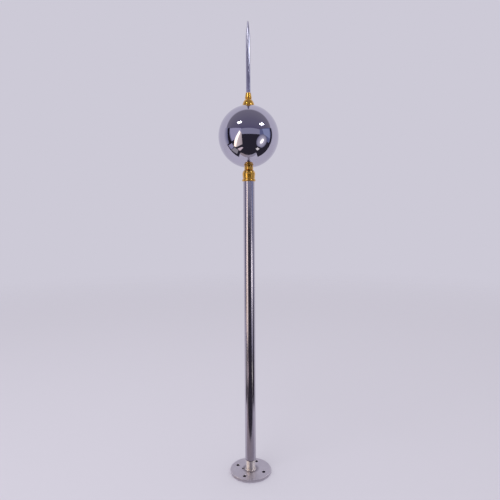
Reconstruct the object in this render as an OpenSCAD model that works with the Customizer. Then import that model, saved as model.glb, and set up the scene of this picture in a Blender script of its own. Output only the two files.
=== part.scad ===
// Single-ball lightning rod: a bolted flange foot, a tube mast, a hollow steel ball
// between two turned brass fittings, and a pointed needle on top.
// Millimetres, +Z up the mast, origin at the centre of the flange's underside.

/* [Base flange] */
// Diameter of the flange disc
flange_d = 145; // [132:1:180]
// Thickness of the flange disc
flange_t = 10; // [6:0.5:16]
// Radius of the round along the flange's two edges
flange_edge_r = 1.5; // [0.5:0.25:2.5]
// Diameter of the circle through the bolt holes' centres
bolt_circle_d = 102; // [92:1:112]
// Diameter of each bolt hole
bolt_hole_d = 12; // [9:0.5:14]
// Number of bolt holes
bolt_count = 4; // [3:1:8]
// Turn of the first bolt hole from +X, in degrees
bolt_turn = 65; // [0:1:90]
// Diameter of the tapped hole for the earth conductor's screw
earth_hole_d = 8; // [5:0.5:9]
// Distance of the earth hole from the mast's axis
earth_hole_offset = 27; // [26:0.5:34]

/* [Spigot] */
// Bare length of the spigot between the flange and the mast tube
spigot_bare = 36; // [20:1:60]
// Length of the spigot that is inside the mast tube
spigot_grip = 90; // [50:1:150]
// Wall of the spigot pipe
spigot_wall = 2.6; // [2:0.1:4]
// Leg of the weld round the spigot's foot
weld_leg = 3.5; // [2:0.5:5]
// Thickness of the weld at its two toes
weld_toe = 0.4; // [0.2:0.1:0.8]

/* [Mast tube] */
// Outer diameter of the mast tube
tube_d = 38; // [34:0.5:42]
// Wall of the mast tube
tube_wall = 2; // [1.5:0.1:3]
// Length of the mast tube
tube_l = 1000; // [600:10:1600]

/* [Tube cap] */
// Depth of the cap's socket over the end of the tube
cap_grip = 17.3; // [14:0.1:30]
// Wall of the cap round the tube, at its waist
cap_wall = 1; // [0.8:0.1:2]
// Height of the round rim at the cap's mouth
rim_h = 8.6; // [6:0.1:10]
// Stand-out of the rim past the waist
rim_stand = 3; // [1.5:0.1:4]
// Height of the plain waist above the rim
waist_h = 2.4; // [1:0.1:3]
// Stand-out of the cap's bulb past the waist
bulb_stand = 1.5; // [0.5:0.1:4]
// Height of the bulb's widest level above the end of the tube
bulb_rise = 7.2; // [5:0.1:14]
// Radius of the bulb's round shoulder
shoulder_r = 18; // [16.5:0.5:24]
// Height of the shoulder, from the bulb's widest level to the cap's top
shoulder_h = 15; // [10:0.5:16]

/* [Neck] */
// Diameter of the neck between the cap and the ball
neck_d = 30; // [24:0.5:36]
// Height of the neck at its outside
neck_h = 8; // [4:0.5:16]
// Bevel along the neck's lower edge
neck_bevel = 1; // [0.3:0.1:2]

/* [Ball] */
// Outer diameter of the ball
ball_d = 200; // [140:1:260]
// Wall of the ball's two pressed halves
ball_wall = 1.2; // [0.8:0.1:3]

/* [Bell] */
// Diameter of the bell where it sits on the ball
bell_d = 40; // [32:0.5:50]
// Height of the bell above its rim on the ball
bell_h = 21.5; // [16:0.5:30]
// Width of the flat land on the bell's top, outside the ferrule's foot
bell_land = 1.2; // [0.5:0.1:2]

/* [Needle ferrule] */
// Height of the ferrule round the needle's foot
ferrule_h = 20; // [14:0.5:30]
// Wall of the ferrule at its widest level
ferrule_wall = 3.7; // [3:0.1:6]
// Wall of the ferrule at its foot
ferrule_foot_wall = 1.4; // [0.8:0.1:2]
// Wall of the ferrule at its top
ferrule_top_wall = 1; // [0.6:0.1:2]
// Radius of the ferrule's round lower part
ferrule_round_r = 6; // [5:0.25:8]

/* [Needle] */
// Diameter of the needle
needle_d = 15; // [12:0.5:18]
// Length of the needle, from its foot on the bell to its tip
needle_l = 244; // [150:1:400]
// Length of the tapered point
point_l = 46; // [30:1:80]
// Radius of the blunt tip
tip_r = 2.4; // [1:0.1:4]

/* [Fits] */
// Radial clearance of the tube on the spigot, the cap on the tube and the ferrule on the needle
fit_gap = 0.15; // [0.05:0.05:0.3]
// Clearance between the ball and the two seats that are turned to its round
seat_gap = 0.1; // [0.05:0.05:0.3]

/* [Hidden] */
$fn = 96;

steel_polished = "#b4b0be";
steel_satin = "#9d98a8";
steel_mirror = "#8f8c9c";
steel_needle = "#8583a3";
steel_weld = "#8c8792";
brass = "#b5862f";

// Reach of a cutter past the face that it cuts
past = 1;

// Radii that several pieces share
tube_r = tube_d / 2;
spigot_r = tube_r - tube_wall - fit_gap;
socket_r = tube_r + fit_gap;
waist_r = socket_r + cap_wall;
bulb_r = waist_r + bulb_stand;
neck_r = neck_d / 2;
ball_r = ball_d / 2;
seat_r = ball_r + seat_gap;
bell_r = bell_d / 2;
needle_r = needle_d / 2;
ferrule_bore_r = needle_r + fit_gap;
ferrule_r = ferrule_bore_r + ferrule_wall;
ferrule_foot_r = ferrule_bore_r + ferrule_foot_wall;
ferrule_top_r = ferrule_bore_r + ferrule_top_wall;
bell_top_r = ferrule_foot_r + bell_land;

// Levels up the mast, each from the piece below
tube_z = flange_t + spigot_bare;
tube_top_z = tube_z + tube_l;
cap_z = tube_top_z - cap_grip;
bulb_z = tube_top_z + bulb_rise;
cap_top_z = bulb_z + shoulder_h;
neck_rim_z = cap_top_z + neck_h;
ball_z = neck_rim_z + sqrt(seat_r ^ 2 - neck_r ^ 2);
bell_z = ball_z + sqrt(seat_r ^ 2 - bell_r ^ 2);
bell_top_z = bell_z + bell_h;
tip_z = bell_top_z + needle_l;

// Radius of an arc that stands out by `rise` over a chord
function arc_radius(chord, rise) = (rise ^ 2 + (chord / 2) ^ 2) / (2 * rise);

// Radius of an arc that leaves a rim straight up and leans in by `lean` over a height
function leaning_radius(lean, height) = (lean ^ 2 + height ^ 2) / (2 * lean);

// Point on the outer side of a circle where a straight line to `end` touches it
function touch_point(centre, r, end) =
    let (
        to_end = end - centre,
        bearing = atan2(to_end.y, to_end.x),
        opening = acos(r / norm(to_end)),
        angle = to_end.y > 0 ? bearing - opening : bearing + opening
    )
    centre + r * [cos(angle), sin(angle)];

// The quarter of the drawing plane to the right of the axis, above a level
module right_of_axis(low, high, width) {
    translate([0, low]) square([width, high - low]);
}

module base_flange() {
    half = flange_d / 2;
    color(steel_satin)
    difference() {
        rotate_extrude() union() {
            square([half - flange_edge_r, flange_t]);
            translate([0, flange_edge_r]) square([half, flange_t - 2 * flange_edge_r]);
            for (level = [flange_edge_r, flange_t - flange_edge_r])
                translate([half - flange_edge_r, level]) circle(flange_edge_r);
        }
        for (k = [0 : bolt_count - 1])
            rotate(bolt_turn + k * 360 / bolt_count) translate([bolt_circle_d / 2, 0, -past])
                cylinder(d = bolt_hole_d, h = flange_t + 2 * past);
        translate([-earth_hole_offset, 0, -past])
            cylinder(d = earth_hole_d, h = flange_t + 2 * past);
    }
}

module spigot() {
    color(steel_polished)
    translate([0, 0, flange_t])
    rotate_extrude()
        translate([spigot_r - spigot_wall, 0]) square([spigot_wall, spigot_bare + spigot_grip]);
}

// A hollow fillet of weld metal between the spigot and the flange
module spigot_weld() {
    color(steel_weld)
    rotate_extrude()
        translate([spigot_r, flange_t]) difference() {
            square(weld_leg);
            translate([weld_leg, weld_leg]) circle(weld_leg - weld_toe);
        }
}

module mast_tube() {
    color(steel_polished)
    translate([0, 0, tube_z])
    rotate_extrude()
        translate([tube_r - tube_wall, 0]) square([tube_wall, tube_l]);
}

// A cap with a round rim at its mouth, a short waist and a bulb whose shoulder rounds in to the neck
module tube_cap() {
    rim_r = arc_radius(rim_h, rim_stand);
    bulb_foot = [waist_r, cap_z + rim_h + waist_h];
    shoulder_centre = [bulb_r - shoulder_r, bulb_z];
    touch = touch_point(shoulder_centre, shoulder_r, bulb_foot);
    color(brass)
    rotate_extrude() difference() {
        union() {
            polygon([[0, cap_z], [waist_r, cap_z], bulb_foot, touch, [0, touch.y]]);
            intersection() {
                translate([waist_r + rim_stand - rim_r, cap_z + rim_h / 2]) circle(rim_r);
                right_of_axis(cap_z, cap_z + rim_h, waist_r + rim_stand);
            }
            intersection() {
                translate(shoulder_centre) circle(shoulder_r);
                right_of_axis(bulb_foot.y, cap_top_z, bulb_r);
            }
        }
        translate([0, cap_z - past]) square([socket_r, cap_grip + past]);
    }
}

// A short collar, hollowed on top to the ball's round
module neck() {
    color(brass)
    rotate_extrude() difference() {
        polygon([
            [0, cap_top_z],
            [neck_r - neck_bevel, cap_top_z],
            [neck_r, cap_top_z + neck_bevel],
            [neck_r, neck_rim_z],
            [0, neck_rim_z],
        ]);
        translate([0, ball_z]) circle(seat_r);
    }
}

// One quarter of the ball's wall in section, above the equator
module ball_quarter() {
    intersection() {
        difference() {
            circle(ball_r);
            circle(ball_r - ball_wall);
        }
        square(ball_r);
    }
}

module ball_lower_half() {
    color(steel_mirror)
    translate([0, 0, ball_z])
    rotate_extrude() mirror([0, 1]) ball_quarter();
}

module ball_upper_half() {
    color(steel_mirror)
    translate([0, 0, ball_z])
    rotate_extrude() ball_quarter();
}

// A bell that rises straight from its rim and leans in to a flat top, hollowed to the ball's round
module bell() {
    lean_r = leaning_radius(bell_r - bell_top_r, bell_h);
    color(brass)
    rotate_extrude() difference() {
        intersection() {
            translate([bell_r - lean_r, bell_z]) circle(lean_r);
            right_of_axis(bell_z, bell_top_z, bell_r);
        }
        translate([0, ball_z]) circle(seat_r);
    }
}

// A teardrop ring: round below, tapered above, bored for the needle
module needle_ferrule() {
    swell = ferrule_r - ferrule_foot_r;
    round_rise = sqrt(ferrule_round_r ^ 2 - (ferrule_round_r - swell) ^ 2);
    centre = [ferrule_r - ferrule_round_r, bell_top_z + round_rise];
    top = [ferrule_top_r, bell_top_z + ferrule_h];
    touch = touch_point(centre, ferrule_round_r, top);
    color(brass)
    rotate_extrude() difference() {
        union() {
            intersection() {
                translate(centre) circle(ferrule_round_r);
                right_of_axis(bell_top_z, top.y, ferrule_r);
            }
            polygon([[0, centre.y], [centre.x, centre.y], touch, top, [0, top.y]]);
        }
        translate([0, bell_top_z - past]) square([ferrule_bore_r, ferrule_h + 2 * past]);
    }
}

// A round bar drawn down to a blunt, round-nosed point
module needle() {
    shoulder = [needle_r, tip_z - point_l];
    nose = [0, tip_z - tip_r];
    touch = touch_point(nose, tip_r, shoulder);
    color(steel_needle)
    rotate_extrude() union() {
        polygon([[0, bell_top_z], [needle_r, bell_top_z], shoulder, touch, nose]);
        intersection() {
            translate(nose) circle(tip_r);
            right_of_axis(shoulder.y, tip_z, tip_r);
        }
    }
}

base_flange();
spigot();
spigot_weld();
mast_tube();
tube_cap();
neck();
ball_lower_half();
ball_upper_half();
bell();
needle_ferrule();
needle();
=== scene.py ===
from math import acos, atan2, cos, degrees, hypot, pi, radians, sin, sqrt

import bmesh
import bpy
from mathutils import Matrix, Vector


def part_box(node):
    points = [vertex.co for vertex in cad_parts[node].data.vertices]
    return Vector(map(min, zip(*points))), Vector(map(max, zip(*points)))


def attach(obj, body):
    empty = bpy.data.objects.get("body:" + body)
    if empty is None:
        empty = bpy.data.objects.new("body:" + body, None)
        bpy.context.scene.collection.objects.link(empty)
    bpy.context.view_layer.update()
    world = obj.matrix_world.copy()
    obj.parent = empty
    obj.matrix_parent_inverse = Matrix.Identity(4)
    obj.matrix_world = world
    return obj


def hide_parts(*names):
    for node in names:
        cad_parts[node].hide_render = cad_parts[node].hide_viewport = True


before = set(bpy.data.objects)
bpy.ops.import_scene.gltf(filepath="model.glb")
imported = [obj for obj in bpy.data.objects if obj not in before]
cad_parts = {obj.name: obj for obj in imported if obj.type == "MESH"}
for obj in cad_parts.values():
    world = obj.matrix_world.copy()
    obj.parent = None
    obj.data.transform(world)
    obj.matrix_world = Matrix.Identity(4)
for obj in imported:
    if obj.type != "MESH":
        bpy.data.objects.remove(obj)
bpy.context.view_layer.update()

# Sizes are in millimetres until a mesh is made
MM = 0.001
STEPS_ROUND = 128
SHARP_ANGLE = radians(28)
MERGE_GAP = 0.001

# Most values of a noise texture lie in this span
NOISE_SPAN = {"From Min": 0.3, "From Max": 0.7}

# A range that falls from one to nothing
FALLING = {"To Min": 1.0, "To Max": 0.0}

# Places of a Mix node's sockets: its share, its two numbers, its two colours, and the colour it gives
SHARE = 0
FIRST_NUMBER = 2
SECOND_NUMBER = 3
FIRST = 6
SECOND = 7
MIXED = 2


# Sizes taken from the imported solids

def span(node):
    """Outer radius, low level and high level of a turned node, in millimetres."""
    low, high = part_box(node)
    return high[0] / MM, low[2] / MM, high[2] / MM


flange_r, flange_low, flange_top = span("base_flange")
spigot_r, spigot_low, spigot_top = span("spigot")
weld_r, weld_low, weld_top = span("spigot_weld")
tube_r, tube_low, tube_top = span("mast_tube")
_, cap_low, cap_top = span("tube_cap")
neck_r, neck_low, _ = span("neck")
ball_r, _, ball_mid = span("ball_lower_half")
bell_r, bell_low, bell_top = span("bell")
ferrule_r, ferrule_low, ferrule_top = span("needle_ferrule")
needle_r, needle_low, needle_tip = span("needle")

# Sizes of the pieces' own forms
flange_round = 1.5
bolt_count = 4
bolt_circle_r = 51
bolt_hole_r = 6
bolt_turn = radians(65)
earth_hole_r = 4
earth_hole_x = -27
hole_edge = 0.5
thread_pitch = 1.25
thread_depth = 0.65
thread_sink = thread_depth / 3
thread_ridge_r = thread_depth / 1.6
spigot_wall = 2.6
tube_wall = 2
tube_edge = 1.0
fit_gap = 0.15
seat_gap = 0.1
cap_wall = 1
rim_stand = 3
rim_h = 8.6
waist_h = 2.4
bulb_stand = 1.5
bulb_rise = 7.2
shoulder_r = 18
neck_bevel = 1
bell_top_r = 10.25
ferrule_round = 6
ferrule_foot_wall = 1.4
ferrule_top_wall = 1
point_l = 46
tip_r = 2.4
weld_toe = 0.4
weld_ripple_gap = 2.2
weld_ripple_depth = 0.12
weld_ripple_steps = 8

# Sizes of the patterns in the finishes
heat_least = 1
heat_rise = 9
# The tube grows darker over this height above its lower end
foot_fade_rise = 240
# Height of the band of painted shade at the tube's lower end
end_shade_rise = 3.4
# How far out from the weld the painted shade on the plate reaches
weld_shade_reach = 14
drilled_within = 0.9 * flange_r
haze_size = 40
wave_size = 55
wave_depth = 0.06
belt_gap = 60
belt_depth = 0.012
lathe_gap = 3
lathe_depth = 0.004
heat_cloud = 9
plate_cloud = 22
grit_size = 1.4
grit_depth = 0.02
scratch_gap = 9
scratch_turn = radians(34)
bead_cloud = 6
bead_depth = 0.05
brass_gap = 4
brass_cloud = 11
bar_gap = 90


# Small helpers

def linear(code, alpha=1.0):
    """An sRGB hex colour as the linear colour that sockets take."""
    shares = [int(code[i:i + 2], 16) / 255 for i in (1, 3, 5)]
    steps = [s / 12.92 if s <= 0.04045 else ((s + 0.055) / 1.055) ** 2.4 for s in shares]
    return (*steps, alpha)


def per_metre(size):
    """Texture scale at which one feature measures this many millimetres."""
    return 1 / (size * MM)


def add(tree, kind, inputs=None, **settings):
    """Adds a node, makes its settings, and sets or links its inputs."""
    node = tree.nodes.new(kind)
    for name, value in settings.items():
        setattr(node, name, value)
    for socket, value in (inputs or {}).items():
        if isinstance(value, bpy.types.NodeSocket):
            tree.links.new(value, node.inputs[socket])
        else:
            node.inputs[socket].default_value = value
    return node


# Outlines that are turned about the mast's axis, as (radius, level) points

def arc(centre, r, start, end, count):
    """Points of an arc from one bearing to another, in degrees, both ends included."""
    turns = [radians(start + (end - start) * i / count) for i in range(count + 1)]
    return [(centre[0] + r * cos(a), centre[1] + r * sin(a)) for a in turns]


def bearing(centre, point):
    return degrees(atan2(point[1] - centre[1], point[0] - centre[0]))


def touch_bearing(centre, r, end):
    """Bearing at which a straight line to the end point touches the outer side of a circle."""
    reach = hypot(end[0] - centre[0], end[1] - centre[1])
    opening = degrees(acos(r / reach))
    towards = bearing(centre, end)
    return towards - opening if end[1] > centre[1] else towards + opening


def flange_outline():
    inner = flange_r - flange_round
    land = inner - flange_round
    lower = arc((inner, flange_low + flange_round), flange_round, -90, 0, 8)
    upper = arc((inner, flange_top - flange_round), flange_round, 0, 90, 8)
    return [(0, flange_low), (land, flange_low), *lower, *upper, (land, flange_top), (0, flange_top)]


def hole_outline(r):
    """A drill with a countersink at both faces of the flange, to cut a hole whose edges are broken."""
    past = 1
    low, high = flange_low, flange_top
    return [
        (0, low - past),
        (r + hole_edge + past, low - past),
        (r, low + hole_edge),
        (r, high - hole_edge),
        (r + hole_edge + past, high + past),
        (0, high + past),
    ]


def spigot_outline():
    bore = spigot_r - spigot_wall
    low, high = spigot_low, spigot_top
    return [(bore, low), (spigot_r, low), (spigot_r, high), (bore, high), (bore, low)]


def weld_outline():
    """A hollow fillet between the spigot and the flange."""
    root = (spigot_r, weld_low)
    hollow = arc((weld_r, weld_top), weld_top - weld_low - weld_toe, -90, -180, 12)
    return [root, (weld_r, weld_low), *hollow, (spigot_r, weld_top), root]


def tube_outline():
    bore = tube_r - tube_wall
    return [
        (bore, tube_low),
        (tube_r - tube_edge, tube_low),
        (tube_r, tube_low + tube_edge),
        (tube_r, tube_top),
        (bore, tube_top),
        (bore, tube_low),
    ]


def cap_outline():
    """Round rim, waist, bulb and shoulder, with the socket that goes over the tube."""
    socket_r = tube_r + fit_gap
    waist_r = socket_r + cap_wall
    round_r = (rim_stand ** 2 + (rim_h / 2) ** 2) / (2 * rim_stand)
    rim_centre = (waist_r + rim_stand - round_r, cap_low + rim_h / 2)
    rim_half = bearing(rim_centre, (waist_r, cap_low + rim_h))
    foot = (waist_r, cap_low + rim_h + waist_h)
    shoulder_centre = (waist_r + bulb_stand - shoulder_r, tube_top + bulb_rise)
    touch = touch_bearing(shoulder_centre, shoulder_r, foot)
    rise = cap_top - shoulder_centre[1]
    top_bearing = degrees(atan2(rise, sqrt(shoulder_r ** 2 - rise ** 2)))
    return [
        (0, tube_top),
        (socket_r, tube_top),
        (socket_r, cap_low),
        *arc(rim_centre, round_r, -rim_half, rim_half, 20),
        foot,
        *arc(shoulder_centre, shoulder_r, touch, top_bearing, 28),
        (0, cap_top),
    ]


def ball_bearing(r, side):
    """Bearing, from the ball's centre, of the seat's edge at a radius, above or below."""
    return side * degrees(acos(r / (ball_r + seat_gap)))


def neck_outline():
    seat = arc((0, ball_mid), ball_r + seat_gap, ball_bearing(neck_r, -1), -90, 12)
    return [(0, neck_low), (neck_r - neck_bevel, neck_low), (neck_r, neck_low + neck_bevel), *seat]


def ball_outline():
    return arc((0, ball_mid), ball_r, -90, 90, 120)


def bell_outline():
    seat = arc((0, ball_mid), ball_r + seat_gap, 90, ball_bearing(bell_r, 1), 12)
    lean = bell_r - bell_top_r
    height = bell_top - bell_low
    lean_r = (lean ** 2 + height ** 2) / (2 * lean)
    centre = (bell_r - lean_r, bell_low)
    side = arc(centre, lean_r, 0, bearing(centre, (bell_top_r, bell_top)), 28)
    return [*seat, *side[1:], (0, bell_top)]


def ferrule_outline():
    bore = needle_r + fit_gap
    foot_r = bore + ferrule_foot_wall
    swell = ferrule_r - foot_r
    rise = sqrt(ferrule_round ** 2 - (ferrule_round - swell) ** 2)
    centre = (ferrule_r - ferrule_round, ferrule_low + rise)
    top = (bore + ferrule_top_wall, ferrule_top)
    side = arc(centre, ferrule_round, bearing(centre, (foot_r, ferrule_low)),
               touch_bearing(centre, ferrule_round, top), 24)
    return [(bore, ferrule_low), *side, top, (bore, ferrule_top), (bore, ferrule_low)]


def needle_outline():
    shoulder = (needle_r, needle_tip - point_l)
    nose = (0, needle_tip - tip_r)
    touch = touch_bearing(nose, tip_r, shoulder)
    return [(0, needle_low), (needle_r, needle_low), shoulder, *arc(nose, tip_r, touch, 90, 12)]


# Geometry Nodes trees

def new_tree(name, sockets):
    tree = bpy.data.node_groups.new(name, "GeometryNodeTree")
    for label, kind in sockets:
        tree.interface.new_socket(label, in_out="INPUT", socket_type="NodeSocket" + kind)
    tree.interface.new_socket("Piece", in_out="OUTPUT", socket_type="NodeSocketGeometry")
    return tree, add(tree, "NodeGroupInput").outputs


def end_tree(tree, mesh, finish):
    """Smooth faces, edges kept crisp where they turn sharply, instances realized, finish set."""
    smooth = add(tree, "GeometryNodeSetShadeSmooth",
                 {"Geometry": mesh, "Shade Smooth": True}, domain="FACE")
    edge = add(tree, "GeometryNodeInputMeshEdgeAngle")
    sharp = add(tree, "FunctionNodeCompare", {0: edge.outputs["Unsigned Angle"], 1: SHARP_ANGLE},
                data_type="FLOAT", operation="GREATER_THAN")
    crisp = add(tree, "GeometryNodeSetShadeSmooth",
                {"Geometry": smooth.outputs[0], "Selection": sharp.outputs[0], "Shade Smooth": False},
                domain="EDGE")
    real = add(tree, "GeometryNodeRealizeInstances", {"Geometry": crisp.outputs[0]})
    dressed = add(tree, "GeometryNodeSetMaterial", {"Geometry": real.outputs[0], "Material": finish})
    add(tree, "NodeGroupOutput", {"Piece": dressed.outputs[0]})


def turning_tree():
    """Turns an outline's points about the axis, with ripples round a root point where asked."""
    tree, given = new_tree("turned_piece", [
        ("Outline", "Geometry"),
        ("Steps round", "Int"),
        ("Ripples round", "Float"),
        ("Ripple depth", "Float"),
        ("Ripple root", "Vector"),
        ("Finish", "Material"),
    ])

    # A grid with a row for each point of the outline and a column for each step round
    rows = add(tree, "GeometryNodeAttributeDomainSize", {"Geometry": given["Outline"]}, component="MESH")
    rows = rows.outputs["Point Count"]
    columns = add(tree, "FunctionNodeIntegerMath", {0: given["Steps round"], 1: 1}, operation="ADD")
    grid = add(tree, "GeometryNodeMeshGrid", {"Vertices X": columns.outputs[0], "Vertices Y": rows})
    index = add(tree, "GeometryNodeInputIndex").outputs[0]
    row = add(tree, "FunctionNodeIntegerMath", {0: index, 1: rows}, operation="MODULO")
    column = add(tree, "FunctionNodeIntegerMath", {0: index, 1: rows}, operation="DIVIDE_FLOOR")
    share = add(tree, "ShaderNodeMath",
                {0: column.outputs[0], 1: given["Steps round"]}, operation="DIVIDE")
    angle = add(tree, "ShaderNodeMath", {0: share.outputs[0], 1: 2 * pi}, operation="MULTIPLY")
    place = add(tree, "GeometryNodeInputPosition")
    point = add(tree, "GeometryNodeSampleIndex",
                {"Geometry": given["Outline"], "Value": place.outputs[0], "Index": row.outputs[0]},
                data_type="FLOAT_VECTOR", domain="POINT")

    # Between two ripples the outline draws in towards its root
    swing = add(tree, "ShaderNodeMath",
                {0: angle.outputs[0], 1: given["Ripples round"]}, operation="MULTIPLY")
    phase = add(tree, "ShaderNodeMath", {0: swing.outputs[0], 1: 0.5}, operation="MULTIPLY")
    wave = add(tree, "ShaderNodeMath", {0: phase.outputs[0]}, operation="SINE")
    scallop = add(tree, "ShaderNodeMath", {0: wave.outputs[0]}, operation="ABSOLUTE")
    dip = add(tree, "ShaderNodeMath", {0: 1.0, 1: scallop.outputs[0]}, operation="SUBTRACT")
    shrink = add(tree, "ShaderNodeMath",
                 {0: dip.outputs[0], 1: given["Ripple depth"]}, operation="MULTIPLY")
    grow = add(tree, "ShaderNodeMath", {0: 1.0, 1: shrink.outputs[0]}, operation="SUBTRACT")
    arm = add(tree, "ShaderNodeVectorMath",
              {0: point.outputs[0], 1: given["Ripple root"]}, operation="SUBTRACT")
    arm = add(tree, "ShaderNodeVectorMath",
              {0: arm.outputs[0], "Scale": grow.outputs[0]}, operation="SCALE")
    rippled = add(tree, "ShaderNodeVectorMath",
                  {0: arm.outputs[0], 1: given["Ripple root"]}, operation="ADD")

    turned = add(tree, "ShaderNodeVectorRotate",
                 {"Vector": rippled.outputs[0], "Angle": angle.outputs[0]}, rotation_type="Z_AXIS")
    body = add(tree, "GeometryNodeSetPosition",
               {"Geometry": grid.outputs["Mesh"], "Position": turned.outputs[0]})
    closed = add(tree, "GeometryNodeMergeByDistance",
                 {"Geometry": body.outputs[0], "Distance": MERGE_GAP * MM})
    end_tree(tree, closed.outputs[0], given["Finish"])
    return tree


def drilling_tree():
    """Cuts a circle of bolt holes and one earth hole out of a plate."""
    tree, given = new_tree("drilled_plate", [
        ("Plate", "Geometry"),
        ("Bolt drill", "Object"),
        ("Earth drill", "Object"),
        ("Bolt count", "Int"),
        ("Bolt circle", "Float"),
        ("First bolt", "Vector"),
        ("Earth place", "Vector"),
        ("Finish", "Material"),
    ])
    circle = add(tree, "GeometryNodeMeshCircle",
                 {"Vertices": given["Bolt count"], "Radius": given["Bolt circle"]})
    circle = add(tree, "GeometryNodeTransform",
                 {"Geometry": circle.outputs[0], "Rotation": given["First bolt"]})
    bolt = add(tree, "GeometryNodeObjectInfo", {"Object": given["Bolt drill"]})
    bolts = add(tree, "GeometryNodeInstanceOnPoints",
                {"Points": circle.outputs[0], "Instance": bolt.outputs["Geometry"]})
    earth = add(tree, "GeometryNodeObjectInfo", {"Object": given["Earth drill"]})
    earth = add(tree, "GeometryNodeTransform",
                {"Geometry": earth.outputs["Geometry"], "Translation": given["Earth place"]})
    drills = add(tree, "GeometryNodeJoinGeometry", {0: bolts.outputs[0]})
    tree.links.new(earth.outputs[0], drills.inputs[0])
    drills = add(tree, "GeometryNodeRealizeInstances", {"Geometry": drills.outputs[0]})
    cut = add(tree, "GeometryNodeMeshBoolean", {"Mesh 1": given["Plate"], "Mesh 2": drills.outputs[0]},
              operation="DIFFERENCE", solver="EXACT")
    end_tree(tree, cut.outputs[0], given["Finish"])
    return tree


def thread_tree():
    """A ridge that winds down a tapped hole."""
    tree, given = new_tree("tapped_thread", [
        ("Start", "Geometry"),
        ("Radius", "Float"),
        ("Height", "Float"),
        ("Turns", "Float"),
        ("Ridge", "Float"),
        ("Place", "Vector"),
        ("Finish", "Material"),
    ])
    path = add(tree, "GeometryNodeCurveSpiral",
               {"Resolution": 48, "Rotations": given["Turns"], "Start Radius": given["Radius"],
                "End Radius": given["Radius"], "Height": given["Height"]})
    ridge = add(tree, "GeometryNodeCurvePrimitiveCircle",
                {"Resolution": 6, "Radius": given["Ridge"]}, mode="RADIUS")
    wound = add(tree, "GeometryNodeCurveToMesh",
                {"Curve": path.outputs[0], "Profile Curve": ridge.outputs[0], "Fill Caps": True})
    placed = add(tree, "GeometryNodeTransform",
                 {"Geometry": wound.outputs[0], "Translation": given["Place"]})
    end_tree(tree, placed.outputs[0], given["Finish"])
    return tree


# Making pieces from the trees

def new_object(name, mesh):
    piece = bpy.data.objects.new(name, mesh)
    bpy.context.scene.collection.objects.link(piece)
    return piece


def run_tree(piece, tree, values):
    """Gives the tree its named inputs, and keeps the result as the piece's plain mesh."""
    sockets = {s.name: s.identifier for s in tree.interface.items_tree if s.in_out == "INPUT"}
    modifier = piece.modifiers.new(tree.name, "NODES")
    modifier.node_group = tree
    for label, value in values.items():
        modifier[sockets[label]] = value
    graph = bpy.context.evaluated_depsgraph_get()
    mesh = bpy.data.meshes.new_from_object(piece.evaluated_get(graph))
    piece.modifiers.clear()
    piece.data = mesh
    shape = bmesh.new()
    shape.from_mesh(mesh)
    bmesh.ops.recalc_face_normals(shape, faces=shape.faces)
    shape.to_mesh(mesh)
    shape.free()
    mesh.name = piece.name
    return piece


def turn(name, outline, finish, steps=STEPS_ROUND, ripples=0.0, depth=0.0, root=(0, 0)):
    """A solid turned from an outline."""
    points = bpy.data.meshes.new(name)
    points.from_pydata([(r * MM, 0, z * MM) for r, z in outline], [], [])
    return run_tree(new_object(name, points), TURNING, {
        "Steps round": steps,
        "Ripples round": ripples,
        "Ripple depth": depth,
        "Ripple root": (root[0] * MM, 0, root[1] * MM),
        "Finish": finish,
    })


def seat(piece, slot, *nodes):
    """Ties a finished piece to the frame."""
    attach(piece, "root")
    if nodes:
        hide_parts(*nodes)


# Finishes

def empty_finish(name):
    """A material with nothing in its tree yet."""
    finish = bpy.data.materials.new(name)
    finish.use_nodes = True
    finish.node_tree.nodes.clear()
    return finish, finish.node_tree


def new_finish(name, colour, roughness):
    """A bare metal with its object coordinates, to be given its own marks."""
    finish, tree = empty_finish(name)
    metal = add(tree, "ShaderNodeBsdfPrincipled",
                {"Base Color": linear(colour), "Metallic": 1.0, "Roughness": roughness})
    add(tree, "ShaderNodeOutputMaterial", {"Surface": metal.outputs[0]})
    place = add(tree, "ShaderNodeTexCoord").outputs["Object"]
    return finish, tree, metal, place


def spin_sheen(tree, metal, amount):
    """Rings left by turning or by a belt, too fine to draw, spread reflections up and down the piece."""
    quarter_turn = 0.25
    around = add(tree, "ShaderNodeTangent", direction_type="RADIAL", axis="Z")
    tree.links.new(around.outputs[0], metal.inputs["Tangent"])
    metal.inputs["Anisotropic"].default_value = amount
    metal.inputs["Anisotropic Rotation"].default_value = quarter_turn


def ring_marks(tree, place, metal, gap, depth, smooth, rough):
    """Bands with faint hollows round the axis, drawn coarser than real tool marks so that they show."""
    change_round = 0.04
    spun = add(tree, "ShaderNodeMapping", {"Vector": place, "Scale": (change_round, change_round, 1.0)})
    bands = add(tree, "ShaderNodeTexNoise",
                {"Vector": spun.outputs[0], "Scale": per_metre(gap), "Detail": 2.0})
    gloss = add(tree, "ShaderNodeMapRange",
                {"Value": bands.outputs["Fac"], **NOISE_SPAN, "To Min": smooth, "To Max": rough})
    bump = add(tree, "ShaderNodeBump",
               {"Height": bands.outputs["Fac"], "Strength": 1.0, "Distance": depth * MM})
    tree.links.new(gloss.outputs[0], metal.inputs["Roughness"])
    tree.links.new(bump.outputs[0], metal.inputs["Normal"])


def mirror_finish():
    """Stainless sheet, spun and buffed to a mirror: sharp reflections, a breath of haze, slow waves."""
    finish, tree, metal, place = new_finish("buffed_stainless_sheet", "#C9C6D5", 0.04)
    haze = add(tree, "ShaderNodeTexNoise",
               {"Vector": place, "Scale": per_metre(haze_size), "Detail": 4.0})
    gloss = add(tree, "ShaderNodeMapRange",
                {"Value": haze.outputs["Fac"], **NOISE_SPAN, "To Min": 0.02, "To Max": 0.07})
    wave = add(tree, "ShaderNodeTexNoise",
               {"Vector": place, "Scale": per_metre(wave_size), "Detail": 1.0})
    bump = add(tree, "ShaderNodeBump",
               {"Height": wave.outputs["Fac"], "Strength": 1.0, "Distance": wave_depth * MM})
    tree.links.new(gloss.outputs[0], metal.inputs["Roughness"])
    tree.links.new(bump.outputs[0], metal.inputs["Normal"])
    return finish


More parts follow.
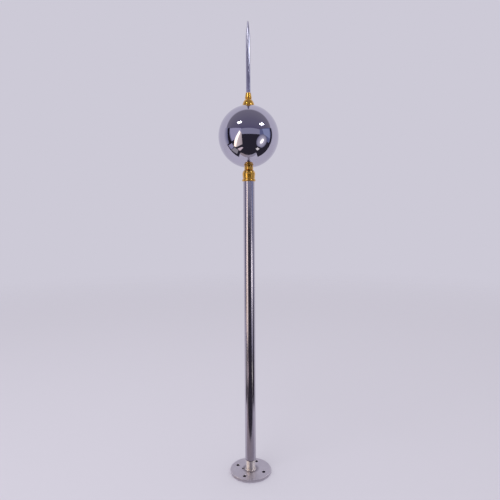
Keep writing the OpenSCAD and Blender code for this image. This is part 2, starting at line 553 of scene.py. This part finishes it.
def tube_finish():
    """Stainless tube polished by a spinning belt: long clear streaks, darker towards its foot, painted
    shade at its end.
    """
    bright, foot_tone, end_shade_colour = "#C6C1CB", "#B2ACB8", "#47434E"
    finish, tree, metal, place = new_finish("belt_polished_tube", bright, 0.15)
    spin_sheen(tree, metal, 0.6)
    ring_marks(tree, place, metal, belt_gap, belt_depth, smooth=0.13, rough=0.16)
    height = add(tree, "ShaderNodeSeparateXYZ", {"Vector": place}).outputs["Z"]
    # The tube's colour grows darker towards its foot
    foot_fade = add(tree, "ShaderNodeMapRange",
               {"Value": height, "From Min": tube_low * MM, "From Max": (tube_low + foot_fade_rise) * MM,
                **FALLING}, interpolation_type="SMOOTHSTEP")
    # A band of painted shade round the tube's lower end, where it meets the spigot
    end_shade = add(tree, "ShaderNodeMapRange",
                {"Value": height, "From Min": (tube_low + tube_edge) * MM,
                 "From Max": (tube_low + end_shade_rise) * MM, **FALLING},
                interpolation_type="SMOOTHSTEP")
    shade = add(tree, "ShaderNodeMix",
                {SHARE: foot_fade.outputs[0], FIRST: linear(bright), SECOND: linear(foot_tone)},
                data_type="RGBA")
    shade = add(tree, "ShaderNodeMix",
                {SHARE: end_shade.outputs[0], FIRST: shade.outputs[MIXED], SECOND: linear(end_shade_colour)},
                data_type="RGBA")
    tree.links.new(shade.outputs[MIXED], metal.inputs["Base Color"])
    return finish


def spigot_finish():
    """Pipe turned bright in a lathe: upright bands of light, a straw tint where the weld heated it."""
    bright, straw = "#FBF5F0", "#F0E2CE"
    finish, tree, metal, place = new_finish("turned_pipe", bright, 0.43)
    spin_sheen(tree, metal, 0.9)
    ring_marks(tree, place, metal, lathe_gap, lathe_depth, smooth=0.4, rough=0.46)
    height = add(tree, "ShaderNodeSeparateXYZ", {"Vector": place}).outputs["Z"]
    cloud = add(tree, "ShaderNodeTexNoise",
                {"Vector": place, "Scale": per_metre(heat_cloud), "Detail": 2.0})
    reach = add(tree, "ShaderNodeMapRange",
                {"Value": cloud.outputs["Fac"], **NOISE_SPAN,
                 "To Min": (weld_top + heat_least) * MM, "To Max": (weld_top + heat_rise) * MM})
    heat = add(tree, "ShaderNodeMapRange",
               {"Value": height, "From Min": flange_top * MM, "From Max": reach.outputs[0], **FALLING},
               interpolation_type="SMOOTHSTEP")
    shade = add(tree, "ShaderNodeMix",
                {SHARE: heat.outputs[0], FIRST: linear(bright), SECOND: linear(straw)},
                data_type="RGBA")
    tree.links.new(shade.outputs[MIXED], metal.inputs["Base Color"])
    return finish


def flange_finish():
    """Steel plate ground to a satin face: soft sheen, fine scratches, painted shade round the weld,
    holes painted dark.
    """
    dull, pale, weld_shade_colour, hole_shade_colour = "#C1BCC5", "#D7D2D9", "#938C96", "#4C4650"
    finish, tree, metal, place = new_finish("satin_ground_plate", "#CDC8D0", 0.43)

    # Colour: clouds over the plate, and painted shade round the weld
    cloud = add(tree, "ShaderNodeTexNoise",
                {"Vector": place, "Scale": per_metre(plate_cloud), "Detail": 5.0, "Roughness": 0.6})
    level = add(tree, "ShaderNodeVectorMath", {0: place, 1: (1.0, 1.0, 0.0)}, operation="MULTIPLY")
    reach = add(tree, "ShaderNodeVectorMath", {0: level.outputs[0]}, operation="LENGTH")
    weld_shade = add(tree, "ShaderNodeMapRange",
                {"Value": reach.outputs["Value"], "From Min": weld_r * MM,
                 "From Max": (weld_r + weld_shade_reach) * MM, **FALLING},
                interpolation_type="SMOOTHSTEP")
    shade = add(tree, "ShaderNodeMix",
                {SHARE: cloud.outputs["Fac"], FIRST: linear(dull), SECOND: linear(pale)},
                data_type="RGBA")
    shade = add(tree, "ShaderNodeMix",
                {SHARE: weld_shade.outputs[0], FIRST: shade.outputs[MIXED], SECOND: linear(weld_shade_colour)},
                data_type="RGBA")

    # The upright walls inside the plate's edge are those of the drilled holes, painted dark as shade in
    # the holes
    steep, shallow = 0.2, 0.7
    normal = add(tree, "ShaderNodeNewGeometry").outputs["Normal"]
    facing = add(tree, "ShaderNodeSeparateXYZ", {"Vector": normal})
    slope = add(tree, "ShaderNodeMath", {0: facing.outputs["Z"]}, operation="ABSOLUTE")
    upright = add(tree, "ShaderNodeMapRange",
                  {"Value": slope.outputs[0], "From Min": steep, "From Max": shallow, **FALLING})
    inner = add(tree, "ShaderNodeMath",
                {0: reach.outputs["Value"], 1: drilled_within * MM}, operation="LESS_THAN")
    drilled = add(tree, "ShaderNodeMath",
                  {0: upright.outputs[0], 1: inner.outputs[0]}, operation="MULTIPLY")
    shade = add(tree, "ShaderNodeMix",
                {SHARE: drilled.outputs[0], FIRST: shade.outputs[MIXED], SECOND: linear(hole_shade_colour)},
                data_type="RGBA")

    # Grinding marks, drawn coarser than real grit so that they show, and long scratches
    stretch, scratch_width, scratch_share = 0.05, 0.02, 0.35
    grind = add(tree, "ShaderNodeTexNoise",
                {"Vector": place, "Scale": per_metre(grit_size), "Detail": 4.0, "Distortion": 2.0})
    gloss = add(tree, "ShaderNodeMapRange",
                {"Value": grind.outputs["Fac"], **NOISE_SPAN, "To Min": 0.38, "To Max": 0.48})
    drawn = add(tree, "ShaderNodeMapping",
                {"Vector": place, "Rotation": (0, 0, scratch_turn), "Scale": (1.0, stretch, 1.0)})
    mark = add(tree, "ShaderNodeTexVoronoi",
               {"Vector": drawn.outputs[0], "Scale": per_metre(scratch_gap)}, feature="DISTANCE_TO_EDGE")
    scratch = add(tree, "ShaderNodeMapRange",
                  {"Value": mark.outputs["Distance"], "From Max": scratch_width})
    relief = add(tree, "ShaderNodeMix",
                 {SHARE: scratch_share, FIRST_NUMBER: grind.outputs["Fac"],
                  SECOND_NUMBER: scratch.outputs[0]}, data_type="FLOAT")
    bump = add(tree, "ShaderNodeBump",
               {"Height": relief.outputs[0], "Strength": 1.0, "Distance": grit_depth * MM})
    tree.links.new(shade.outputs[MIXED], metal.inputs["Base Color"])
    tree.links.new(gloss.outputs[0], metal.inputs["Roughness"])
    tree.links.new(bump.outputs[0], metal.inputs["Normal"])
    return finish


def weld_finish():
    """Weld bead brushed bright: a flare of light along its ripples, with a few straw heat marks."""
    brushed, straw = "#DAD4D6", "#C9B8A6"
    finish, tree, metal, place = new_finish("brushed_weld_bead", "#D8D2D4", 0.25)
    cloud = add(tree, "ShaderNodeTexNoise",
                {"Vector": place, "Scale": per_metre(bead_cloud), "Detail": 3.0})
    warm = add(tree, "ShaderNodeMapRange",
               {"Value": cloud.outputs["Fac"], "From Min": 0.48, "From Max": 0.72})
    shade = add(tree, "ShaderNodeMix",
                {SHARE: warm.outputs[0], FIRST: linear(brushed), SECOND: linear(straw)},
                data_type="RGBA")
    gloss = add(tree, "ShaderNodeMapRange",
                {"Value": cloud.outputs["Fac"], **NOISE_SPAN, "To Min": 0.2, "To Max": 0.32})
    bump = add(tree, "ShaderNodeBump",
               {"Height": cloud.outputs["Fac"], "Strength": 1.0, "Distance": bead_depth * MM})
    tree.links.new(shade.outputs[MIXED], metal.inputs["Base Color"])
    tree.links.new(gloss.outputs[0], metal.inputs["Roughness"])
    tree.links.new(bump.outputs[0], metal.inputs["Normal"])
    return finish


def brass_finish():
    """Turned brass under lacquer that scatters a little light: brown-gold darks, yellow streaks."""
    dark, light = "#DCA236", "#ECB844"
    finish, tree, metal, place = new_finish("lacquered_turned_brass", "#E6B33D", 0.17)
    spin_sheen(tree, metal, 0.5)
    ring_marks(tree, place, metal, brass_gap, lathe_depth, smooth=0.16, rough=0.19)
    metal.inputs["Metallic"].default_value = 0.86
    metal.inputs["Coat Weight"].default_value = 1.0
    metal.inputs["Coat Roughness"].default_value = 0.05
    cloud = add(tree, "ShaderNodeTexNoise",
                {"Vector": place, "Scale": per_metre(brass_cloud), "Detail": 3.0})
    shade = add(tree, "ShaderNodeMix",
                {SHARE: cloud.outputs["Fac"], FIRST: linear(dark), SECOND: linear(light)},
                data_type="RGBA")
    tree.links.new(shade.outputs[MIXED], metal.inputs["Base Color"])
    return finish


def needle_finish():
    """Bright drawn bar: cool steel with upright streaks, faint bands left by the tool that cut it."""
    finish, tree, metal, place = new_finish("bright_drawn_bar", "#D2D1E2", 0.15)
    spin_sheen(tree, metal, 0.6)
    ring_marks(tree, place, metal, bar_gap, lathe_depth, smooth=0.14, rough=0.16)
    return finish


# The pieces

TURNING = turning_tree()
DRILLING = drilling_tree()
THREADING = thread_tree()


def make_flange(finish):
    plate = turn("base_flange_plate", flange_outline(), finish, steps=192)
    bolt_drill = turn("bolt_drill", hole_outline(bolt_hole_r), finish, steps=64)
    earth_drill = turn("earth_drill", hole_outline(earth_hole_r), finish, steps=48)
    run_tree(plate, DRILLING, {
        "Bolt drill": bolt_drill,
        "Earth drill": earth_drill,
        "Bolt count": bolt_count,
        "Bolt circle": bolt_circle_r * MM,
        "First bolt": (0.0, 0.0, bolt_turn),
        "Earth place": (earth_hole_x * MM, 0.0, 0.0),
        "Finish": finish,
    })
    bpy.data.objects.remove(bolt_drill)
    bpy.data.objects.remove(earth_drill)
    seat(plate, "flange_steel", "base_flange")


def make_thread(finish):
    height = flange_top - flange_low - 2 * hole_edge - thread_pitch
    start = bpy.data.meshes.new("earth_hole_thread")
    thread = run_tree(new_object("earth_hole_thread", start), THREADING, {
        "Radius": (earth_hole_r - thread_sink) * MM,
        "Height": height * MM,
        "Turns": height / thread_pitch,
        "Ridge": thread_ridge_r * MM,
        "Place": (earth_hole_x * MM, 0.0, (flange_low + hole_edge + thread_pitch / 2) * MM),
        "Finish": finish,
    })
    seat(thread, "flange_steel")


def make_weld(finish):
    ripples = round(2 * pi * (spigot_r + weld_r) / 2 / weld_ripple_gap)
    bead = turn("spigot_weld_bead", weld_outline(), finish, steps=weld_ripple_steps * ripples,
                ripples=float(ripples), depth=weld_ripple_depth, root=(spigot_r, weld_low))
    seat(bead, "weld_steel", "spigot_weld")


flange_steel = flange_finish()
brass = brass_finish()
make_flange(flange_steel)
make_thread(flange_steel)
make_weld(weld_finish())
seat(turn("spigot_pipe", spigot_outline(), spigot_finish()), "tube_steel", "spigot")
seat(turn("mast_tube_polished", tube_outline(), tube_finish()), "tube_steel", "mast_tube")
seat(turn("tube_cap_turning", cap_outline(), brass), "polished_brass", "tube_cap")
seat(turn("neck_turning", neck_outline(), brass), "polished_brass", "neck")
seat(turn("ball_shell", ball_outline(), mirror_finish(), steps=240),
     "mirror_steel", "ball_lower_half", "ball_upper_half")
seat(turn("bell_turning", bell_outline(), brass), "polished_brass", "bell")
seat(turn("needle_ferrule_turning", ferrule_outline(), brass), "polished_brass", "needle_ferrule")
seat(turn("needle_bar", needle_outline(), needle_finish()), "needle_steel", "needle")


# The stage, in metres

FLOOR_R = 7.0
FLOOR_STEPS = 96
FADE_FROM = 2.2
PALE = "#CDCAD7"
DARK = "#322F39"
SOFT_LIGHT = 0.86
ROOM_LEFT = -3.6
ROOM_RIGHT = 3.75
ROOM_FRONT = -4.2
CEILING = 2.7
DADO = 1.1
CARD_Z = 0.004
GLOW = "glow"

# Where the cards hang, measured from the ball
BALL_CENTRE = Vector((0, 0, ball_mid * MM))
POST_REACH = 3.3
SHEET_REACH = 3.4
STRIP_REACH = 1.85
PANEL_REACH = 1.87
ROUND_REACH = 1.7
HANGING_REACH = 2.2


def floor_finish():
    """Matt pale paper that fades out far from the object, and is not seen from below."""
    finish, tree = empty_finish("pale_paper_floor")
    place = add(tree, "ShaderNodeTexCoord").outputs["Object"]
    reach = add(tree, "ShaderNodeVectorMath", {0: place}, operation="LENGTH")
    fade = add(tree, "ShaderNodeMapRange",
               {"Value": reach.outputs["Value"], "From Min": FADE_FROM, "From Max": FLOOR_R},
               interpolation_type="SMOOTHSTEP")
    below = add(tree, "ShaderNodeNewGeometry").outputs["Backfacing"]
    gone = add(tree, "ShaderNodeMath", {0: fade.outputs[0], 1: below}, operation="MAXIMUM")
    paper = add(tree, "ShaderNodeBsdfDiffuse", {"Color": linear("#D3CFDC")})
    clear = add(tree, "ShaderNodeBsdfTransparent")
    mix = add(tree, "ShaderNodeMixShader",
              {0: gone.outputs[0], 1: paper.outputs[0], 2: clear.outputs[0]})
    add(tree, "ShaderNodeOutputMaterial", {"Surface": mix.outputs[0]})
    return finish


def glow_finish(name, sampling, seen_behind=True):
    """A card that only metal shows: it glows as its points say, and thins out where they do."""
    finish, tree = empty_finish(name)
    given = add(tree, "ShaderNodeAttribute", attribute_name=GLOW).outputs
    cover = given["Alpha"]
    if not seen_behind:
        behind = add(tree, "ShaderNodeNewGeometry").outputs["Backfacing"]
        cover = add(tree, "ShaderNodeMath", {0: cover, 1: behind}, operation="SUBTRACT").outputs[0]
    face = add(tree, "ShaderNodeEmission", {"Color": given["Color"], "Strength": 1.0})
    clear = add(tree, "ShaderNodeBsdfTransparent")
    mix = add(tree, "ShaderNodeMixShader", {0: cover, 1: clear.outputs[0], 2: face.outputs[0]})
    add(tree, "ShaderNodeOutputMaterial", {"Surface": mix.outputs[0]})
    finish.cycles.emission_sampling = sampling
    return finish


WALL = glow_finish("room_card", "NONE")
LAMP = glow_finish("lamp_face", "FRONT_BACK")
FOOT_LAMP = glow_finish("foot_lamp_face", "FRONT_BACK", seen_behind=False)


def glow(colour, strength=1.0, cover=1.0):
    """What a point of a card gives off, and how far the card covers what lies behind it."""
    r, g, b, _ = linear(colour)
    return (r * strength, g * strength, b * strength, cover)


def card(name, points, glows, faces=None, finish=WALL):
    """A card out of the camera's sight, with one glow for all its points or one for each."""
    mesh = bpy.data.meshes.new(name)
    mesh.from_pydata(points, [], faces or [list(range(len(points)))])
    mesh.materials.append(finish)
    shades = glows if isinstance(glows, list) else [glows] * len(points)
    marks = mesh.attributes.new(GLOW, "FLOAT_COLOR", "POINT")
    for mark, shade in zip(marks.data, shades):
        mark.color = shade
    piece = new_object(name, mesh)
    piece.visible_camera = False
    piece.visible_shadow = False
    piece.visible_diffuse = False


def ribbon(name, pairs, glows, finish=WALL):
    """A card along a row of point pairs, with one glow for all, or one for each point."""
    faces = [(2 * i, 2 * i + 1, 2 * i + 3, 2 * i + 2) for i in range(len(pairs) - 1)]
    card(name, [point for pair in pairs for point in pair], glows, faces, finish)


def from_ball(bearing_right, rise, reach):
    """Point at a distance from the ball, by its bearing right of the camera and its rise, in degrees."""
    side, lift = radians(bearing_right), radians(rise)
    way = Vector((cos(lift) * sin(side), -cos(lift) * cos(side), sin(lift)))
    return BALL_CENTRE + reach * way


def patch(reach, *ways):
    """Points at one distance from the ball."""
    return [from_ball(side, rise, reach) for side, rise in ways]


def at_height(places, height=CARD_Z):
    """Points at one height, just above the floor unless told otherwise."""
    return [(x, y, height) for x, y in places]


def pairs_of(points):
    return list(zip(points[::2], points[1::2]))


def twice(*glows):
    """The same glow for both points of each pair."""
    return [shade for shade in glows for _ in range(2)]


def paper_floor():
    turns = [2 * pi * i / FLOOR_STEPS for i in range(FLOOR_STEPS)]
    edge = [(FLOOR_R * cos(a), FLOOR_R * sin(a), 0) for a in turns]
    mesh = bpy.data.meshes.new("paper_floor")
    mesh.from_pydata(edge, [], [list(range(FLOOR_STEPS))])
    mesh.materials.append(floor_finish())
    new_object("paper_floor", mesh)


def dim_room():
    """A dim room on the camera's side gives metal its darker middle, and thins out beside the object."""
    ends = [
        (0.34, "#96929F", 0.0),
        (0.14, "#878390", 1.0),
        (-1.1, "#757184", 1.0),
        (ROOM_FRONT, "#645F7B", 1.0),
    ]
    ribbon("ceiling", [((ROOM_LEFT, y, CEILING), (ROOM_RIGHT, y, CEILING)) for y, _, _ in ends],
           twice(*[glow(colour, cover=cover) for _, colour, cover in ends]))
    sides = (("left_wall", ROOM_LEFT, "#84849F"), ("right_wall", ROOM_RIGHT, "#6F7599"))
    for name, x, colour in sides:
        ribbon(name, [((x, y, 0), (x, y, CEILING)) for y in (ROOM_FRONT, -0.2, 0.9)],
               twice(glow(colour), glow(colour), glow(colour, cover=0.0)))
    fronts = (("front_wall", DADO, CEILING, "#9A99AE"), ("front_dado", 0, DADO, DARK))
    for name, low, high, colour in fronts:
        ribbon(name, [((x, ROOM_FRONT, low), (x, ROOM_FRONT, high)) for x in (ROOM_LEFT, ROOM_RIGHT)],
               glow(colour))
    posts = [
        ("left_post", [(-86, 22), (-75, 22), (-83, 6), (-74, 5), (-85, -19), (-69, -23)]),
        ("right_post", [(88, 22), (96, 21), (89, -14), (98, -14), (84, -28), (97, -28)]),
    ]
    for name, ways in posts:
        ribbon(name, pairs_of(patch(POST_REACH, *ways)), glow("#241F2A"))
    sheets = [
        ("white_sheet", [(-74, 20), (-27, 19), (-27, -2), (-66, -17)], "#B4B0CA"),
        ("blue_sheet", [(52, 17), (84, 19), (86, -6), (58, 0)], "#9AA3C4"),
    ]
    for name, ways, colour in sheets:
        card(name, patch(SHEET_REACH, *ways), glow(colour))


def dark_floor():
    """Floor that ends in a shallow bow in front of the object, and dimmer paper inside the bow."""
    bow = [(-0.6, -0.24), (-0.57, -0.36), (-0.4, -0.35), (-0.25, -0.285), (0, -0.25),
           (0.25, -0.285), (0.4, -0.35), (0.53, -0.37)]
    left = [(ROOM_LEFT, ROOM_FRONT), (ROOM_LEFT, 0.5), (-1.63, 0.22), (-0.6, 0.16)]
    right = [(0.55, 0.12), (2.9, 0.45), (ROOM_RIGHT, 0.5), (ROOM_RIGHT, ROOM_FRONT)]
    card("dark_floor", at_height([*left, *bow, *right]), glow(DARK))
    paper = [(-0.18, -0.04), (-0.5, -0.15), *bow, (0.46, -0.15), (0.18, -0.04)]
    card("dim_paper", at_height(paper), [glow("#AC9EA0" if x < 0 else "#A8A5B4") for x, _ in paper])
    sheets = [
        ("lilac_sheet", [(-2.96, 0.17), (-2.7, -0.88), (-1.61, -0.6), (-1.65, 0.04)], "#ABA8C4"),
        ("grey_sheet", [(-1.63, 0.06), (-1.47, -0.56), (-0.83, -0.51), (-0.81, -0.05)], "#A4A0A3"),
        ("pink_sheet", [(-1.02, -0.62), (-0.68, -1.0), (-0.5, -0.96), (-0.68, -0.5)], "#F0DCDE"),
        ("cream_sheet", [(0.6, -0.76), (0.86, -0.85), (0.97, -0.58), (0.72, -0.5)], "#FFFAF2"),
    ]
    for name, places, colour in sheets:
        card(name, at_height(places, 2 * CARD_Z), glow(colour))


def strip_softbox():
    """Long strip with a duller panel beside it."""
    strip = patch(STRIP_REACH, (-34, 11), (-31, 11), (-37, 5), (-29, 5),
                  (-55, -17), (-44, -19), (-68, -33), (-60, -38))
    cream = twice(glow("#FFF6EA", strength=1.6), glow("#FFF2E2", strength=2.6),
                  glow("#FFEBD6", strength=2.6), glow("#FFE6CE", strength=2.0))
    ribbon("strip_softbox", pairs_of(strip), cream, LAMP)
    panel = patch(PANEL_REACH, (-29, 5), (-25, 5), (-44, -19), (-25, -20), (-60, -38), (-27, -35))
    ribbon("strip_panel", pairs_of(panel), [glow("#F4E6DC"), glow("#C6B7B6")] * 3, LAMP)


def round_softbox():
    """Round softbox, bright at its core and dim at its rim."""
    centre = from_ball(54, -21, ROUND_REACH)
    aim = (BALL_CENTRE - centre).to_track_quat("Z", "Y")
    tilt = radians(22)
    rings = [
        (0.05, 0.15, glow("#FFFAF6", strength=5)),
        (0.1, 0.23, glow("#FFFAF6", strength=1.8)),
        (0.21, 0.31, glow("#CFCCD6")),
        (0.42, 0.48, glow("#B4B1C0")),
        (0.57, 0.62, glow("#9391A6")),
        (0.64, 0.69, glow("#6A687E")),
    ]
    count = 40
    points = []
    for across, up, _ in rings:
        for i in range(count):
            a = 2 * pi * i / count
            flat = Matrix.Rotation(tilt, 3, "Z") @ Vector((across * cos(a), up * sin(a), 0))
            points.append(centre + aim @ flat)
    faces = [list(range(count))]
    for ring in range(len(rings) - 1):
        low, high = ring * count, (ring + 1) * count
        for i in range(count):
            after = (i + 1) % count
            faces.append((low + i, low + after, high + after, high + i))
    shades = [shade for _, _, shade in rings for _ in range(count)]
    card("round_softbox", points, shades, faces, LAMP)


def overhead_lamps():
    """Two small bright lamps above the camera, left and right."""
    drop = 0.02
    left_lamp = [(-1.42, -1.62), (-0.86, -1.62), (-0.86, -1.24), (-1.42, -1.24)]
    right_lamp = patch(HANGING_REACH, (44, 32.5), (53, 28.5), (66, 31.5), (57, 37.5))
    card("left_ceiling_lamp", at_height(left_lamp, CEILING - drop), glow("#FFFFFF", strength=10),
         finish=LAMP)
    card("right_hanging_lamp", right_lamp, glow("#F4F8FF", strength=9), finish=LAMP)


def foot_lamps():
    """Two low lamps beside the flange that face down: the foot shows them and the ball does not."""
    near, far, height = 0.13, 0.75, 0.2
    for name, start, end, colour in (("left", -66, -96, "#FFF2E2"), ("right", 90, 69, "#FFFAF6")):
        corners = [(near, start), (far, start), (far, end), (near, end)]
        places = [(reach * sin(radians(side)), -reach * cos(radians(side))) for reach, side in corners]
        card(name + "_foot_lamp", at_height(places, height), glow(colour, strength=2.1),
             finish=FOOT_LAMP)


def overhead_softbox():
    """Large soft lamp that lights the floor, so that the object has a shadow. Metal does not show it."""
    light = bpy.data.lights.new("overhead_softbox", "AREA")
    light.size = 1.8
    light.energy = 25
    softbox = bpy.data.objects.new("overhead_softbox", light)
    bpy.context.scene.collection.objects.link(softbox)
    place = Vector((-1.3, -1.5, 3.3))
    aim = (-place).to_track_quat("-Z", "Y")
    softbox.matrix_world = Matrix.Translation(place) @ aim.to_matrix().to_4x4()
    softbox.visible_glossy = False


def light_world():
    """Pale surround for what is seen directly or in metal, and a soft even light for the rest."""
    world = bpy.data.worlds.new("studio")
    bpy.context.scene.world = world
    world.use_nodes = True
    tree = world.node_tree
    tree.nodes.clear()
    path = add(tree, "ShaderNodeLightPath").outputs
    seen = add(tree, "ShaderNodeMath",
               {0: path["Is Camera Ray"], 1: path["Is Glossy Ray"]}, operation="MAXIMUM")
    seen = add(tree, "ShaderNodeMath",
               {0: seen.outputs[0], 1: path["Is Transmission Ray"]}, operation="MAXIMUM")
    soft = add(tree, "ShaderNodeBackground", {"Color": linear("#FFFFFF"), "Strength": SOFT_LIGHT})
    pale = add(tree, "ShaderNodeBackground", {"Color": linear(PALE), "Strength": 1.0})
    mix = add(tree, "ShaderNodeMixShader", {0: seen.outputs[0], 1: soft.outputs[0], 2: pale.outputs[0]})
    add(tree, "ShaderNodeOutputWorld", {"Surface": mix.outputs[0]})


paper_floor()
dim_room()
dark_floor()
strip_softbox()
round_softbox()
overhead_lamps()
foot_lamps()
overhead_softbox()
light_world()


# The camera, matched to the photograph

FRAME_PX = 500
FOCAL_PX = 420
PITCH = radians(6.0)
LEAN = radians(0.36)
CAMERA_PLACE = (0.002, -1.434, 0.881)
SHIFT_PX = 20


def make_camera():
    lens = bpy.data.cameras.new("camera")
    lens.sensor_width = 36
    lens.lens = lens.sensor_width * FOCAL_PX / FRAME_PX
    lens.shift_y = SHIFT_PX / FRAME_PX
    lens.clip_start = 0.05
    camera = bpy.data.objects.new("camera", lens)
    bpy.context.scene.collection.objects.link(camera)
    aim = Matrix.Rotation(pi / 2 - PITCH, 4, "X") @ Matrix.Rotation(-LEAN, 4, "Z")
    camera.matrix_world = Matrix.Translation(CAMERA_PLACE) @ aim
    bpy.context.scene.camera = camera


make_camera()
bpy.context.scene.view_settings.view_transform = "Standard"
